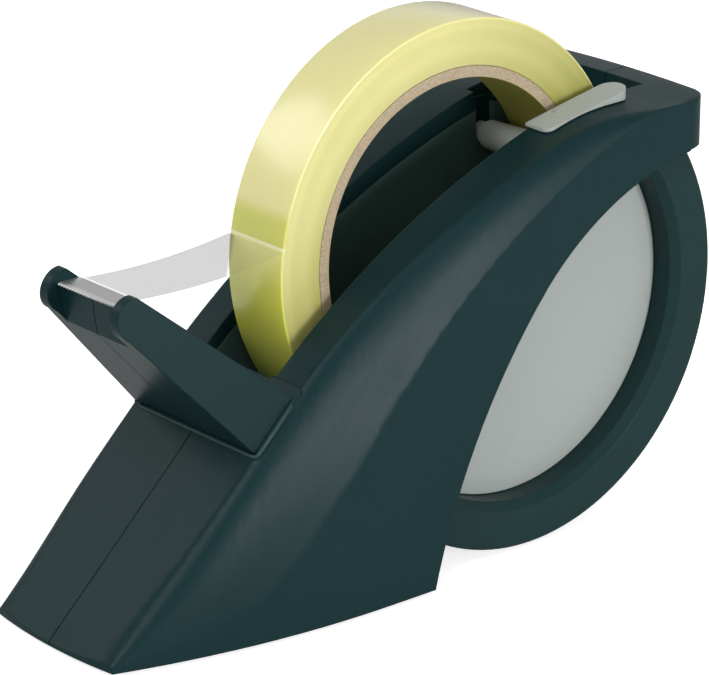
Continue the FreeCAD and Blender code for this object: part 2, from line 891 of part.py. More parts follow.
# ---- base, ballast, feet and screws ------------------------------------------------
def base_plate():
    inset = wall + base_clearance
    front, rear = base_front_y, base_rear_y
    middle = (front + widest_y) / 2
    low = foot_height
    a = V(base_half_width(front) - inset, front, low)
    b = V(base_half_width(middle) - inset, middle, low)
    c = V(base_half_width(widest_y) - inset, widest_y, low)
    d = V(c.x, rear, low)
    flip = [V(-p.x, p.y, p.z) for p in (a, b, c, d)]
    edges = [arc(a, b, c), line(c, d), line(d, flip[3]), line(flip[3], flip[2])]
    edges += [arc(flip[2], flip[1], flip[0]), line(flip[0], a)]
    plate = Part.Face(Part.Wire(edges)).extrude(V(0, 0, base_thickness))
    holes = []
    for x, y in foot_places():
        holes.append(rod_z(foot_radius + base_clearance / 2, 0.0, low + foot_recess, x, y))
    for x, y in base_screw_places():
        for side in (-1, 1):
            holes.append(rod_z(screw_radius + screw_clearance, 0.0, beyond, side * x, y))
            recess = low + screw_head_height - base_thickness / 2
            holes.append(rod_z(screw_head_radius + screw_clearance, 0.0, recess, side * x, y))
    return plate.cut(holes)


def foot_places():
    front_x = base_half_width(front_foot_y) - front_foot_inset
    rear_x = base_half_width(rear_foot_y) - rear_foot_inset
    places = []
    for side in (-1, 1):
        places.append((side * front_x, front_foot_y))
        places.append((side * rear_x, rear_foot_y))
    return places


def base_screw_places():
    # On the right-hand half; the left has the same two.
    rear_x = base_half_width(rear_base_screw_y) - rear_base_screw_inset
    return [front_base_screw, (rear_x, rear_base_screw_y)]


def rubber_foot(x, y):
    foot = rod_z(foot_radius, 0.0, foot_height + foot_recess, x, y)
    edge = [e for e in foot.Edges if e.BoundBox.ZMax < 0.01]
    return foot.makeFillet(0.4 * foot_height, edge)


def ballast():
    # A cast block on the base plate, stepped to follow the ramp.
    low = foot_height + base_thickness
    under_ramp = wall / math.cos(math.radians(ramp_angle)) + ballast_clearance
    front, rear = ballast_front_y, ballast_rear_y
    top = foot_height + ballast_height
    step_y = nose_y + (top + under_ramp - ramp_height(nose_y)) / ramp_slope
    points = [
        (front, low),
        (rear, low),
        (rear, top - ballast_chamfer),
        (rear - ballast_chamfer, top),
        (step_y, top),
        (front, ramp_height(front) - under_ramp),
    ]
    return side_polygon(points, -ballast_half_width, ballast_half_width)


def shell_screws():
    screws = []
    for y, z, depth in shell_screw_places:
        seat = base_half_width(y) - depth
        face_x = -seat - screw_head_height
        shank = rod_x(screw_radius, -seat, shell_screw_reach, y, z)
        head = rod_x(screw_head_radius, face_x, -seat, y, z)
        screws.append(shank.fuse(head).cut(cross_slot_x(face_x, y, z)))
    return screws


def cross_slot_x(face_x, y, z):
    half = cross_slot_half_width
    reach = 0.6 * screw_head_radius
    deep = 0.5 * screw_head_height
    one = block(face_x - overshoot, face_x + deep, y - half, y + half, z - reach, z + reach)
    two = block(face_x - overshoot, face_x + deep, y - reach, y + reach, z - half, z + half)
    return one.fuse(two)


def base_screws():
    screws = []
    seat = foot_height + screw_head_height - base_thickness / 2
    low = seat - base_screw_head_height
    high = foot_height + base_thickness + base_post_height - 2 * overshoot
    for x, y in base_screw_places():
        for side in (-1, 1):
            shank = rod_z(screw_radius, seat, high, side * x, y)
            head = rod_z(screw_head_radius, low, seat, side * x, y)
            screws.append(shank.fuse(head))
    return screws


# ---- build ---------------------------------------------------------------------------
def main():
    os.makedirs("parts", exist_ok=True)
    shell = half_shell()
    save("right_shell", shell.cut(pilot_holes()))
    save("left_shell", mirrored(shell).cut(head_holes()))
    save("roll_well", roll_well())
    save("cutter_blade", cutter_blade())
    save("roll_axle", roll_axle())
    save("tape_core", tape_core())
    save("tape_winding", tape_winding())
    save("tape_strip", tape_strip())
    ring = drawer_ring()
    disc = drawer_disc()
    runner = drawer_runner()
    save("drawer_ring_right", ring)
    save("drawer_ring_left", mirrored(ring))
    save("drawer_disc_right", disc)
    save("drawer_disc_left", mirrored(disc))
    save("drawer_tray", drawer_tray())
    save("drawer_runner_right", runner)
    save("drawer_runner_left", mirrored(runner))
    save("drawer_catch", drawer_catch())
    save("base_plate", base_plate())
    save("ballast", ballast())
    names = ("front_foot_left", "rear_foot_left", "front_foot_right", "rear_foot_right")
    for name, (x, y) in zip(names, foot_places()):
        save(name, rubber_foot(x, y))
    save("shell_screws", Part.makeCompound(shell_screws()))
    save("base_screws", Part.makeCompound(base_screws()))


main()
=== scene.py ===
"""Desk tape dispenser with a round drawer: finishes, tape roll, blade, camera and light."""
import math

import bmesh
import bpy
from mathutils import Matrix, Vector


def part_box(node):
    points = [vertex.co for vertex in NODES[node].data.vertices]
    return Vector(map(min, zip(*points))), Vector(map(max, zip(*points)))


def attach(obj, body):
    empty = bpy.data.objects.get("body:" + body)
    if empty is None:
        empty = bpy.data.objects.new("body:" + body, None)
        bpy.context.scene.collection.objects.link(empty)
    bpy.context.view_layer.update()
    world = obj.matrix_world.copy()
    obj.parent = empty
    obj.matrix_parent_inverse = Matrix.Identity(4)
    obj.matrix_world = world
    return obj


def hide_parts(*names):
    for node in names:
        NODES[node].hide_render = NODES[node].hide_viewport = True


bl_info = {
    "name": "Desk tape dispenser",
    "version": (1, 0, 0),
    "blender": (4, 5, 0),
    "location": "View3D > Sidebar > Dispenser",
    "description": "Dresses a desk tape dispenser with a round drawer around its packed frame",
    "category": "Object",
}

MM = 0.001
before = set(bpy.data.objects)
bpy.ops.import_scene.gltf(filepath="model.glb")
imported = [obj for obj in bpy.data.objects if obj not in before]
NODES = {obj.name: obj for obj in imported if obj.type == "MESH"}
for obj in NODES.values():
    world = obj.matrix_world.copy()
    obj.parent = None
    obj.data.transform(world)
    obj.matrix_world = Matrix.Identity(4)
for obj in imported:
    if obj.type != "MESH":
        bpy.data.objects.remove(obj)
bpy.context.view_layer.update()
WINDING_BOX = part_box("tape_winding")
CORE_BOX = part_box("tape_core")
BLADE_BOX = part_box("cutter_blade")
STRIP_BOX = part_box("tape_strip")
ROLL_CENTRE = (WINDING_BOX[0] + WINDING_BOX[1]) / 2
IMAGE_WIDTH = 709

# The foot of the cutter arm, in millimetres. The bead comes out of the shell on the left,
# runs along the front, turns the corner and climbs the right side.
FOOT_FRONT = -48.2
FOOT_RIGHT = 23.1
FOOT_HEIGHT = 42.35
COLLAR_EDGE = (
    (-20.4, -47.2, 42.60),
    (-19.4, FOOT_FRONT, FOOT_HEIGHT),
    (21.9, FOOT_FRONT, FOOT_HEIGHT),
    (22.8, -47.9, 42.70),
    (FOOT_RIGHT, -47.2, 43.50),
    (FOOT_RIGHT, -38.0, 52.60),
)

# The free end of the film turns clear between these two places, where it clings to the roll.
CLING_FROM = -37.2 * MM
CLING_TO = -36.0 * MM

SPRING_TINT = (0.42, 0.42, 0.43)
SCREW_TINT = (0.36, 0.36, 0.37)
TOOTH_OVERLAP = 0.02 * MM
LAMP_TARGET = Vector((0.0, 0.0, 0.05))
FLOOR_REACH = 6.0
WHITE = (1.0, 1.0, 1.0, 1.0)
# The colour sockets of a Mix node, whose float and vector sockets have the same names.
MIX_FIRST, MIX_SECOND, MIX_RESULT = 6, 7, 2


def half_span(box, axis):
    """Half of a box's size along one axis."""
    return (box[1][axis] - box[0][axis]) / 2


def colour(name, description, default):
    return bpy.props.FloatVectorProperty(
        name=name, description=description, default=default, subtype="COLOR", size=3, min=0.0, max=1.0
    )


def length(name, description, default):
    return bpy.props.FloatProperty(
        name=name, description=description, default=default, unit="LENGTH", subtype="DISTANCE", precision=5
    )


def factor(name, description, default):
    return bpy.props.FloatProperty(name=name, description=description, default=default, min=0.0, max=1.0)


def amount(name, description, default):
    return bpy.props.FloatProperty(name=name, description=description, default=default, min=0.0)


class BodyFinish(bpy.types.PropertyGroup):
    """Colours and surface of the moulded plastic"""

    shell_colour: colour("Shell", "Dark teal of the two shells", (0.0062, 0.0262, 0.0290))
    # The channel's teal is painted much lighter than the shell's: painted light inside the roll channel.
    channel_painted_light_colour: colour("Channel", "Darker teal inside the roll channel", (0.0600, 0.1120, 0.1040))
    drawer_colour: colour("Drawer", "Dark teal of the drawer drum", (0.0105, 0.0330, 0.0335))
    base_colour: colour("Base", "Dark plate under the ramp", (0.0080, 0.0200, 0.0210))
    # The bead's tint is much lighter than the shell's: a painted highlight along its rounded top.
    bead_highlight_colour: colour("Bead", "Lighter, handled bead round the arm's foot", (0.030, 0.070, 0.070))
    disc_colour: colour("Disc", "Light grey of the two discs in the drum", (0.365, 0.395, 0.38))
    axle_colour: colour("Axle", "Light grey of the roll axle and its grip", (0.40, 0.43, 0.405))
    grain_size: length("Grain size", "Spacing of the fine moulded grain", 0.45 * MM)
    grain_depth: length("Grain depth", "Depth of the fine moulded grain", 0.010 * MM)
    edge_round: length("Edge rounding", "Radius at which moulded edges catch the light", 0.45 * MM)
    bead_radius: length("Bead radius", "Radius of the bead round the foot of the arm", 0.45 * MM)
    roughness: factor("Roughness", "How matt the dark plastic is", 0.36)
    gloss: factor("Gloss", "Strength of the reflections on the plastic", 0.12)


class RollFinish(bpy.types.PropertyGroup):
    """Sizes and colours of the tape roll"""

    core_bore: length("Core bore", "Inside diameter of the cardboard core", 76.2 * MM)
    winding_gap: length("Winding gap", "Gap between the core and the first turn", 0.05 * MM)
    edge_round: length("Edge rounding", "Rounding of the winding's side edges", 0.35 * MM)
    core_edge_round: length("Core edge rounding", "Rounding of the core's side edges", 0.2 * MM)
    segments: bpy.props.IntProperty(
        name="Segments", description="Steps round the roll", default=256, min=64, max=512
    )
    turn_pitch: length("Turn pitch", "Spacing of the visible bands of turns", 0.35 * MM)
    tape_colour: colour("Tape", "Yellow of many turns of clear film", (0.71, 0.67, 0.265))
    # Painted shade: the sides of the roll turn to this colour towards the bottom and the back.
    shaded_tape_colour: colour("Tape depth", "Colour where the film lies deepest", (0.38, 0.37, 0.08))
    # Painted shade: the last turn turns to this greener colour lower down, next to the dark channel.
    low_shade_colour: colour("Tape below", "Greener yellow near the dark channel", (0.84, 0.86, 0.13))
    outer_colour: colour("Tape outside", "Paler yellow of the last turn", (0.85, 0.80, 0.36))
    # A painted highlight: the thin bright line where the free end leaves the roll.
    seam_highlight_colour: colour("Tape seam", "Bright line where the free end leaves the roll", (1.0, 0.97, 0.70))
    card_colour: colour("Cardboard", "Grey-brown of the pressed core", (0.42, 0.335, 0.225))
    lining_colour: colour("Core lining", "Olive yellow paper inside the core", (0.30, 0.28, 0.045))
    film_colour: colour("Film", "Tint of the free end of the tape", (0.10, 0.10, 0.10))
    film_alpha: factor("Film cover", "How much the single film covers what is behind it", 0.34)


class BladeSizes(bpy.types.PropertyGroup):
    """Sizes of the toothed cutting blade"""

    tooth_count: bpy.props.IntProperty(name="Teeth", description="Teeth along the edge", default=23, min=5)
    tooth_depth: length("Tooth depth", "How far the teeth stand out", 1.1 * MM)
    thickness: length("Thickness", "Sheet thickness of the blade", 0.5 * MM)
    steel_colour: colour("Steel", "Bright rolled steel", (0.93, 0.93, 0.91))
    roughness: factor("Roughness", "How matt the steel is", 0.38)


class StageSettings(bpy.types.PropertyGroup):
    """Camera, lamps and background"""

    azimuth: bpy.props.FloatProperty(
        name="Azimuth", description="Camera angle round the dispenser from its nose",
        default=math.radians(49.759), subtype="ANGLE",
    )
    elevation: bpy.props.FloatProperty(
        name="Elevation", description="Camera angle above the desk",
        default=math.radians(20.108), subtype="ANGLE",
    )
    distance: length("Distance", "Camera to the middle of the roll", 911.55 * MM)
    side_offset: length("Side offset", "Camera moved across its own view", -17.168 * MM)
    up_offset: length("Up offset", "Camera moved up its own view", -25.908 * MM)
    focal_pixels: amount("Focal length in pixels", "Lens length over pixel size", 3881.86)
    ambient_low: amount("Low ambient", "Light from the sides of the room", 0.55)
    ambient_high: amount("High ambient", "Light from straight above", 0.40)
    key_power: amount("Key lamp", "Power of the low lamp on the right, beside the drawer", 4.6)
    front_power: amount("Front lamp", "Power of the lamp in front of the ramp", 1.5)
    rear_power: amount("Rear lamp", "Power of the wide lamp behind the deck", 0.1)
    top_power: amount("Top lamp", "Power of the lamp above the roll", 5.0)
    floor_colour: colour("Floor", "Pale floor and backdrop", (0.80, 0.80, 0.80))
    floor_glow: amount("Floor glow", "Light the floor adds where the camera sees it", 0.75)


# ---- node helpers -----------------------------------------------------------------
def feed(tree, node, inputs):
    """Fills a node's inputs; each is a value or an output socket to link."""
    for key, value in inputs.items():
        if isinstance(value, bpy.types.NodeSocket):
            tree.links.new(value, node.inputs[key])
        else:
            node.inputs[key].default_value = value


def add(tree, kind, inputs=None, **settings):
    """A node with its settings and its inputs."""
    node = tree.nodes.new(kind)
    for key, value in settings.items():
        setattr(node, key, value)
    feed(tree, node, inputs or {})
    return node


def maths(tree, operation, first, second=0.0):
    return add(tree, "ShaderNodeMath", {0: first, 1: second}, operation=operation).outputs[0]


def mixed(tree, share, first, second):
    """Two colours mixed; each is three channels or an output socket."""
    inputs = {"Factor": share}
    for key, value in ((MIX_FIRST, first), (MIX_SECOND, second)):
        inputs[key] = value if isinstance(value, bpy.types.NodeSocket) else (*value, 1.0)
    return add(tree, "ShaderNodeMix", inputs, data_type="RGBA").outputs[MIX_RESULT]


def ranged(tree, value, low, high, to_low, to_high):
    inputs = {"Value": value, "From Min": low, "From Max": high, "To Min": to_low, "To Max": to_high}
    return add(tree, "ShaderNodeMapRange", inputs).outputs["Result"]


def noise(tree, place, scale, detail=2.0, roughness=0.5):
    inputs = {"Vector": place, "Scale": scale, "Detail": detail, "Roughness": roughness}
    return add(tree, "ShaderNodeTexNoise", inputs).outputs["Fac"]


def noise_along(tree, value, scale, detail):
    """Noise that changes along one value only, such as the radius of the roll."""
    inputs = {"W": value, "Scale": scale, "Detail": detail}
    return add(tree, "ShaderNodeTexNoise", inputs, noise_dimensions="1D").outputs["Fac"]


def vector(tree, **parts):
    return add(tree, "ShaderNodeCombineXYZ", parts).outputs["Vector"]


def bumped(tree, height, strength, distance, normal=None):
    """The normal of a surface with small relief, laid over the given normal if there is one."""
    inputs = {"Strength": strength, "Distance": distance, "Height": height}
    if normal:
        inputs["Normal"] = normal
    return add(tree, "ShaderNodeBump", inputs).outputs["Normal"]


def scaled(tree, place, scale):
    return add(tree, "ShaderNodeMapping", {"Vector": place, "Scale": scale}).outputs["Vector"]


def shade(value, share):
    """A colour made lighter or darker by a share, kept below full white."""
    return tuple(min(1.0, channel * share) for channel in value)


def new_material(name):
    """A material with one principled shader; also returns object coordinates."""
    material = bpy.data.materials.new(name)
    material.use_nodes = True
    tree = material.node_tree
    tree.nodes.clear()
    shader = add(tree, "ShaderNodeBsdfPrincipled")
    add(tree, "ShaderNodeOutputMaterial", {"Surface": shader.outputs["BSDF"]})
    place = add(tree, "ShaderNodeTexCoord").outputs["Object"]
    return material, tree, shader, place


# ---- materials --------------------------------------------------------------------
def moulded_plastic(name, tint, finish, roughness, speckle=0.30):
    """Fine-grained moulded plastic with faint cloudiness and handling marks."""
    material, tree, shader, place = new_material(name)
    cloud = noise(tree, place, scale=28.0, detail=3.0)
    speck = noise(tree, place, scale=0.4 / finish.grain_size, detail=1.0)
    grain = noise(tree, place, scale=1.0 / finish.grain_size, detail=2.0, roughness=0.6)
    marks = noise(tree, scaled(tree, place, (900.0, 60.0, 60.0)), scale=1.0)
    base = mixed(tree, cloud, shade(tint, 1.0 - speckle / 3), shade(tint, 1.0 + speckle / 3))
    speckled = mixed(tree, ranged(tree, speck, 0.45, 0.75, 0.0, speckle), base, shade(tint, 1.30))
    handled = ranged(tree, marks, 0.3, 0.7, roughness - 0.012, roughness + 0.015)
    rough = maths(tree, "ADD", handled, ranged(tree, grain, 0.3, 0.7, -0.03, 0.03))
    rounded = add(tree, "ShaderNodeBevel", {"Radius": finish.edge_round}, samples=6).outputs["Normal"]
    feed(tree, shader, {
        "Base Color": speckled,
        "Roughness": rough,
        "Normal": bumped(tree, grain, strength=0.5, distance=finish.grain_depth, normal=rounded),
        "Specular IOR Level": finish.gloss,
    })
    return material


def roll_radius(tree, place):
    """Distance from the roll's axis, the height, and a value that grows up and to the front, which sets the
    painted light on the roll.
    """
    parts = add(tree, "ShaderNodeSeparateXYZ", {"Vector": place}).outputs
    across = maths(tree, "SUBTRACT", parts["Y"], ROLL_CENTRE.y)
    above = maths(tree, "SUBTRACT", parts["Z"], ROLL_CENTRE.z)
    squares = [maths(tree, "MULTIPLY", value, value) for value in (across, above)]
    radius = maths(tree, "SQRT", maths(tree, "ADD", *squares))
    raised = maths(tree, "MULTIPLY", above, 0.8)
    facing = maths(tree, "SUBTRACT", raised, maths(tree, "MULTIPLY", across, 0.6))
    return radius, parts["Z"], facing


def tape_skin(tree, height, finish):
    """The colour of the last turn, with painted shade lower down, a darker band and a painted highlight line
    where the free end leaves the roll.
    """
    leaving = STRIP_BOX[1].z
    # Painted shade: from 90 mm down to 70 mm the last turn turns to the greener, shaded colour near the dark
    # channel.
    skin = mixed(tree, ranged(tree, height, 70.0 * MM, 90.0 * MM, 0.0, 1.0),
                 finish.low_shade_colour[:], finish.outer_colour[:])
    # Above that line a darker band fades out upwards.
    begins = ranged(tree, height, leaving + 0.8 * MM, leaving + 0.9 * MM, 0.0, 1.0)
    fades = ranged(tree, height, leaving + 6.0 * MM, leaving + 9.0 * MM, 1.0, 0.0)
    over = maths(tree, "MULTIPLY", begins, fades)
    skin = mixed(tree, maths(tree, "MULTIPLY", over, 0.8), skin, shade(finish.low_shade_colour, 0.78))
    # A painted highlight: a thin bright line just above where the free end leaves the roll.
    away = maths(tree, "ABSOLUTE", maths(tree, "SUBTRACT", height, leaving + 0.5 * MM))
    return mixed(tree, ranged(tree, away, 0.2 * MM, 0.5 * MM, 0.7, 0.0), skin, finish.seam_highlight_colour[:])


def wound_tape(finish):
    """Many turns of clear film: a waxy yellow body with rings of turns and painted light and shade on its
    sides.
    """
    material, tree, shader, place = new_material("wound_tape")
    radius, height, facing = roll_radius(tree, place)
    turns = noise_along(tree, radius, scale=1.0 / finish.turn_pitch, detail=3.0)
    broad = noise_along(tree, radius, scale=0.12 / finish.turn_pitch, detail=1.0)
    cloud = noise(tree, place, scale=60.0)
    outer = half_span(WINDING_BOX, 2)
    # Painted light and shade: the sides are lighter towards the top and front and turn to the shaded tape
    # colour towards the bottom and back, with a little random tone along the radius.
    lit = maths(tree, "ADD", ranged(tree, facing, 0.0, 0.8 * outer, 0.0, 0.92),
                ranged(tree, broad, 0.35, 0.65, -0.05, 0.08))
    body = mixed(tree, lit, finish.shaded_tape_colour[:], finish.tape_colour[:])
    banded = mixed(tree, ranged(tree, turns, 0.3, 0.7, 0.0, 0.06), body, shade(finish.tape_colour, 1.15))
    sides = mixed(tree, ranged(tree, cloud, 0.35, 0.7, 0.0, 0.12), banded, shade(finish.tape_colour, 0.90))
    on_skin = ranged(tree, radius, outer - 0.6 * MM, outer - 0.1 * MM, 0.0, 1.0)
    side_rough = ranged(tree, turns, 0.3, 0.7, 0.38, 0.52)
    ripple = noise(tree, scaled(tree, place, (1.0, 0.25, 0.25)), scale=420.0)
    relief = maths(tree, "ADD", maths(tree, "MULTIPLY", turns, 0.5), maths(tree, "MULTIPLY", ripple, 0.4))
    feed(tree, shader, {
        "Base Color": mixed(tree, on_skin, sides, tape_skin(tree, height, finish)),
        "Roughness": maths(tree, "SUBTRACT", side_rough, maths(tree, "MULTIPLY", on_skin, 0.26)),
        "Normal": bumped(tree, relief, strength=0.35, distance=0.03 * MM),
        "Subsurface Weight": 0.35,
        "Subsurface Radius": (1.0, 0.9, 0.35),
        "Subsurface Scale": 4.0 * MM,
        "IOR": 1.47,
        "Coat Weight": 1.0,
        "Coat Roughness": 0.24,
    })
    return material


def pressed_card(finish):
    """Grey-brown cardboard with fibres, plies on its edge and a coloured paper lining."""
    material, tree, shader, place = new_material("pressed_card")
    card, lining = finish.card_colour, finish.lining_colour
    radius = roll_radius(tree, place)[0]
    fibre = noise(tree, place, scale=1900.0, detail=4.0, roughness=0.65)
    blotch = noise(tree, place, scale=350.0, detail=3.0)
    ply = noise_along(tree, radius, scale=1500.0, detail=1.0)
    base = mixed(tree, ranged(tree, fibre, 0.35, 0.65, 0.0, 1.0), shade(card, 0.72), shade(card, 1.22))
    blotched = mixed(tree, ranged(tree, blotch, 0.55, 0.75, 0.0, 0.5), base, shade(card, 0.6))
    plied = mixed(tree, ranged(tree, ply, 0.45, 0.7, 0.0, 0.35), blotched, shade(card, 1.3))
    bore = finish.core_bore / 2
    on_lining = ranged(tree, radius, bore + 0.08 * MM, bore + 0.22 * MM, 1.0, 0.0)
    streaked = mixed(tree, blotch, shade(lining, 0.9), shade(lining, 1.1))
    relief = maths(tree, "ADD", fibre, maths(tree, "MULTIPLY", ply, 0.5))
    feed(tree, shader, {
        "Base Color": mixed(tree, on_lining, plied, streaked),
        "Normal": bumped(tree, relief, strength=0.6, distance=0.08 * MM),
        "Roughness": 0.85,
    })
    return material


def clear_film(finish):
    """One layer of slightly frosted film."""
    material, tree, shader, place = new_material("clear_film")
    streak = noise(tree, scaled(tree, place, (500.0, 30.0, 30.0)), scale=1.0)
    cover = ranged(tree, streak, 0.3, 0.7, finish.film_alpha - 0.004, finish.film_alpha + 0.004)
    # It clears along a slanting line at the roll, and where it lies on the blade.
    parts = add(tree, "ShaderNodeSeparateXYZ", {"Vector": place}).outputs
    slant = maths(tree, "ADD", parts["Y"], maths(tree, "MULTIPLY", parts["X"], 0.9))
    cling = ranged(tree, slant, CLING_FROM, CLING_TO, 1.0, 0.12)
    blade_back = BLADE_BOX[1].y
    pressed = ranged(tree, parts["Y"], blade_back, blade_back + 0.5 * MM, 0.3, 1.0)
    feed(tree, shader, {
        "Base Color": mixed(tree, streak, shade(finish.film_colour, 0.97), shade(finish.film_colour, 1.03)),
        "Alpha": maths(tree, "MULTIPLY", maths(tree, "MULTIPLY", cover, cling), pressed),
        "Normal": bumped(tree, streak, strength=0.03, distance=0.01 * MM),
        "Roughness": 0.30,
    })
    return material


def rolled_steel(name, tint, roughness):
    """Bright sheet steel with fine lines across the blade."""
    material, tree, shader, place = new_material(name)
    lines = noise(tree, scaled(tree, place, (60.0, 4200.0, 900.0)), scale=1.0, detail=3.0)
    cloud = noise(tree, place, scale=300.0)
    ground = ranged(tree, lines, 0.3, 0.7, roughness - 0.06, roughness + 0.08)
    feed(tree, shader, {
        "Base Color": mixed(tree, lines, shade(tint, 0.78), shade(tint, 1.25)),
        "Roughness": maths(tree, "ADD", ground, ranged(tree, cloud, 0.3, 0.7, -0.03, 0.03)),
        "Normal": bumped(tree, lines, strength=0.3, distance=0.01 * MM),
        "Metallic": 1.0,
    })
    return material


def rough_casting():
    """Grey cast iron with a sandy skin and faint rust."""
    material, tree, shader, place = new_material("rough_casting")
    sand = noise(tree, place, scale=900.0, detail=4.0, roughness=0.65)
    stain = noise(tree, place, scale=90.0, detail=3.0)
    iron = mixed(tree, sand, (0.045, 0.047, 0.050), (0.11, 0.11, 0.115))
    rust = (0.10, 0.065, 0.045)
    feed(tree, shader, {
        "Base Color": mixed(tree, ranged(tree, stain, 0.55, 0.75, 0.0, 0.4), iron, rust),
        "Normal": bumped(tree, sand, strength=0.7, distance=0.15 * MM),
        "Metallic": 0.6,
        "Roughness": 0.62,
    })
    return material


def soft_rubber():
    """Matt black rubber, a little dusty."""
    material, tree, shader, place = new_material("soft_rubber")
    dust = noise(tree, place, scale=700.0, detail=3.0)
    dusty = ranged(tree, dust, 0.5, 0.75, 0.0, 0.5)
    feed(tree, shader, {
        "Base Color": mixed(tree, dusty, (0.012, 0.012, 0.013), (0.035, 0.035, 0.034)),
        "Normal": bumped(tree, dust, strength=0.4, distance=0.03 * MM),
        "Roughness": 0.8,
    })
    return material


# ---- mesh helpers -----------------------------------------------------------------
def linked(name, mesh, material):
    """A new object in the scene with one material."""
    piece = bpy.data.objects.new(name, mesh)
    bpy.context.scene.collection.objects.link(piece)
    mesh.materials.clear()
    mesh.materials.append(material)
    return piece


def finished(node, material, body, sharp_angle=32.0):
    """Puts a joined, smooth-shaded copy of a CAD node in its place, with its material."""
    mesh = NODES[node].data.copy()
    normals = mesh.attributes.get("custom_normal")
    if normals:
        mesh.attributes.remove(normals)
    shape = bmesh.new()
    shape.from_mesh(mesh)
    bmesh.ops.remove_doubles(shape, verts=shape.verts, dist=0.002 * MM)
    bmesh.ops.dissolve_degenerate(shape, edges=shape.edges, dist=0.0005 * MM)
    shape.to_mesh(mesh)
    shape.free()
    mesh.shade_smooth()
    mesh.set_sharp_from_angle(angle=math.radians(sharp_angle))
    piece = linked(node + "_finish", mesh, material)
    weigh = piece.modifiers.new("even normals", "WEIGHTED_NORMAL")
    weigh.keep_sharp = True
    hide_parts(node)
    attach(piece, body)


def baked(holder, name):
    """The plain mesh of an object as evaluated; the object itself is removed."""
    graph = bpy.context.evaluated_depsgraph_get()
    mesh = bpy.data.meshes.new_from_object(holder.evaluated_get(graph), depsgraph=graph)
    bpy.data.objects.remove(holder)
    mesh.name = name
    return mesh


def beaded(name, points, radius, material):
    """A thin round bead along a line of points given in millimetres."""
    curve = bpy.data.curves.new(name, "CURVE")
    curve.dimensions = "3D"
    curve.bevel_depth = radius
    curve.bevel_resolution = 3
    curve.use_fill_caps = True
    spline = curve.splines.new("POLY")
    spline.points.add(len(points) - 1)
    for point, place in zip(spline.points, points):
        point.co = (*(MM * value for value in place), 1.0)
    holder = bpy.data.objects.new(name + "_line", curve)
    bpy.context.scene.collection.objects.link(holder)
    mesh = baked(holder, name)
    recalculated(mesh)
    mesh.shade_smooth()
    return linked(name, mesh, material)


def recalculated(mesh):
    """Joins doubled points and turns every face outwards."""
    shape = bmesh.new()
    shape.from_mesh(mesh)
    bmesh.ops.remove_doubles(shape, verts=shape.verts, dist=0.001 * MM)
    bmesh.ops.recalc_face_normals(shape, faces=shape.faces)
    shape.to_mesh(mesh)
    shape.free()


def new_tree(name, inputs):
    """A Geometry Nodes tree with its named inputs; returns it and their identifiers."""
    tree = bpy.data.node_groups.new(name, "GeometryNodeTree")
    identifiers = {}
    for label, kind in inputs:
        socket = tree.interface.new_socket(label, in_out="INPUT", socket_type=kind)
        identifiers[label] = socket.identifier
    tree.interface.new_socket("Geometry", in_out="OUTPUT", socket_type="NodeSocketGeometry")
    return tree, identifiers


def moved(tree, geometry, way, value):
    """Geometry after one change: Translation, Rotation or Scale."""
    return add(tree, "GeometryNodeTransform", {"Geometry": geometry, way: value}).outputs["Geometry"]


def close_tree(tree, geometry, given):
    """Puts the shape at its centre, makes it real, paints it and ends the tree."""
    placed = moved(tree, geometry, "Translation", given["Centre"])
    whole = add(tree, "GeometryNodeRealizeInstances", {"Geometry": placed}).outputs["Geometry"]
    painted = add(tree, "GeometryNodeSetMaterial", {"Geometry": whole, "Material": given["Material"]})
    add(tree, "NodeGroupOutput", {"Geometry": painted.outputs["Geometry"]})


def grown(name, tree, identifiers, values):
    """Runs a tree on an empty mesh and returns the plain mesh it makes."""
    holder = bpy.data.objects.new(name + "_tree", bpy.data.meshes.new(name + "_tree"))
    bpy.context.scene.collection.objects.link(holder)
    modifier = holder.modifiers.new("shape", "NODES")
    modifier.node_group = tree
    for label, value in values.items():
        modifier[identifiers[label]] = value
    return baked(holder, name)


# ---- tape roll --------------------------------------------------------------------
def turned_ring_tree():
    """A ring with rounded edges about an axis along X."""
    tree, identifiers = new_tree("turned ring", (
        ("Inner Radius", "NodeSocketFloat"),
        ("Outer Radius", "NodeSocketFloat"),
        ("Width", "NodeSocketFloat"),
        ("Edge Radius", "NodeSocketFloat"),
        ("Segments", "NodeSocketInt"),
        ("Centre", "NodeSocketVector"),
        ("Material", "NodeSocketMaterial"),
    ))
    given = add(tree, "NodeGroupInput").outputs
    middle = maths(tree, "MULTIPLY", maths(tree, "ADD", given["Inner Radius"], given["Outer Radius"]), 0.5)
    depth = maths(tree, "SUBTRACT", given["Outer Radius"], given["Inner Radius"])
    path = add(tree, "GeometryNodeCurvePrimitiveCircle", {"Resolution": given["Segments"], "Radius": middle})
    outline = add(tree, "GeometryNodeCurvePrimitiveQuadrilateral", {"Width": depth, "Height": given["Width"]})
    fillet = {"Curve": outline.outputs["Curve"], "Count": 5, "Radius": given["Edge Radius"]}
    rounded = add(tree, "GeometryNodeFilletCurve", fillet, mode="POLY")
    swept = add(tree, "GeometryNodeCurveToMesh",
                {"Curve": path.outputs["Curve"], "Profile Curve": rounded.outputs["Curve"]})
    turned = moved(tree, swept.outputs["Mesh"], "Rotation", (0.0, math.pi / 2, 0.0))
    close_tree(tree, turned, given)
    return tree, identifiers


def ring_piece(name, inner, outer, edge, finish, material):
    """One ring of the roll, as wide as the tape."""
    tree, identifiers = turned_ring_tree()
    values = {
        "Inner Radius": inner,
        "Outer Radius": outer,
        "Width": 2 * half_span(WINDING_BOX, 0),
        "Edge Radius": edge,
        "Segments": finish.segments,
        "Centre": ROLL_CENTRE,
        "Material": material,
    }
    mesh = grown(name, tree, identifiers, values)
    recalculated(mesh)
    mesh.shade_smooth()
    mesh.set_sharp_from_angle(angle=math.radians(40.0))
    return linked(name, mesh, material)


